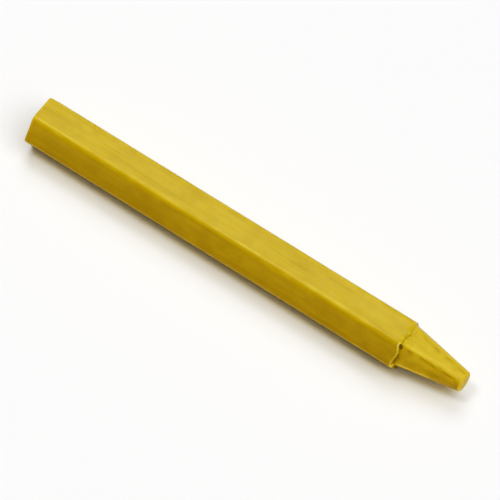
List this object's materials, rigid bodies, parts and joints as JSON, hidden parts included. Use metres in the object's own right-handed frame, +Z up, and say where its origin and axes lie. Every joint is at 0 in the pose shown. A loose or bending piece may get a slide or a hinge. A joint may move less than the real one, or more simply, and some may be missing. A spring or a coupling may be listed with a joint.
{
  "type": "chalk stick",
  "caption": "Hexagonal stick of wax-bound marking chalk, moulded in one piece, with a stepped shoulder and a blunt round taper that writes on wood, metal, stone or rubber.",
  "frame": {"origin": "middle of the footprint, on the surface the stick lies on", "axes": "+X along the stick towards the tip, +Z up out of the flat that faces away from the surface"},
  "size_m": [0.12, 0.0136, 0.012],
  "materials": {
    "chalk": "satin, waxy, mustard yellow all through"
  },
  "bodies": {
    "root": {"chalk_stick": "chalk"}
  },
  "joints": []
}
